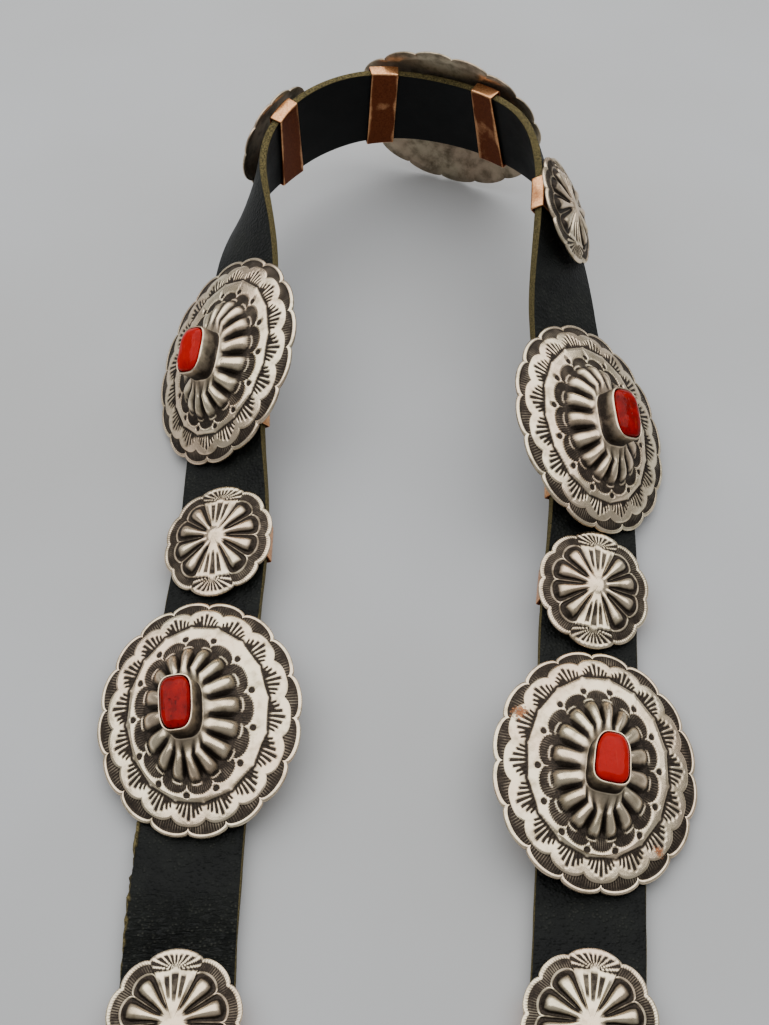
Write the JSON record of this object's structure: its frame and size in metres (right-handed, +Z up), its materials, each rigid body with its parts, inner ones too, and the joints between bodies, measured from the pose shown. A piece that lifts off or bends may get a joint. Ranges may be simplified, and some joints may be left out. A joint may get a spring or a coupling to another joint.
{
  "type": "medallion belt",
  "caption": "Leather belt lying in a U, with domed scalloped silver medallions on copper loops, red stones in tall bezels, a plain buckle and a punched tip.",
  "frame": {"origin": "middle of the belt's box on the surface that it lies on", "axes": "+Z up; the legs of the U run along Y and both ends point to -Y; +X is the right leg as seen from the ends"},
  "size_m": [0.1841, 0.4512, 0.0632],
  "materials": {
    "leather": "black, satin, pebbly grain",
    "silver": "oxidised in the stamp work, worn bright on the high parts",
    "coral": "polished",
    "copper": "tarnished brown, worn bright at the edges"
  },
  "bodies": {
    "root": {"strap": "leather", "buckle": "silver", "medallion_large_left_front": "silver", "coral_left_front": "coral", "copper_loop_left_front_a": "copper", "copper_loop_left_front_b": "copper", "medallion_large_left_back": "silver", "coral_left_back": "coral", "copper_loop_left_back_a": "copper", "copper_loop_left_back_b": "copper", "medallion_large_back": "silver", "coral_back": "coral", "copper_loop_back_a": "copper", "copper_loop_back_b": "copper", "medallion_large_right_back": "silver", "coral_right_back": "coral", "copper_loop_right_back_a": "copper", "copper_loop_right_back_b": "copper", "medallion_large_right_front": "silver", "coral_right_front": "coral", "copper_loop_right_front_a": "copper", "copper_loop_right_front_b": "copper", "medallion_small_left_end": "silver", "copper_loop_left_end": "copper", "medallion_small_left_middle": "silver", "copper_loop_left_middle": "copper", "medallion_small_back_left": "silver", "copper_loop_back_left": "copper", "medallion_small_back_right": "silver", "copper_loop_back_right": "copper", "medallion_small_right_middle": "silver", "copper_loop_right_middle": "copper", "medallion_small_right_end": "silver", "copper_loop_right_end": "copper"}
  },
  "joints": []
}
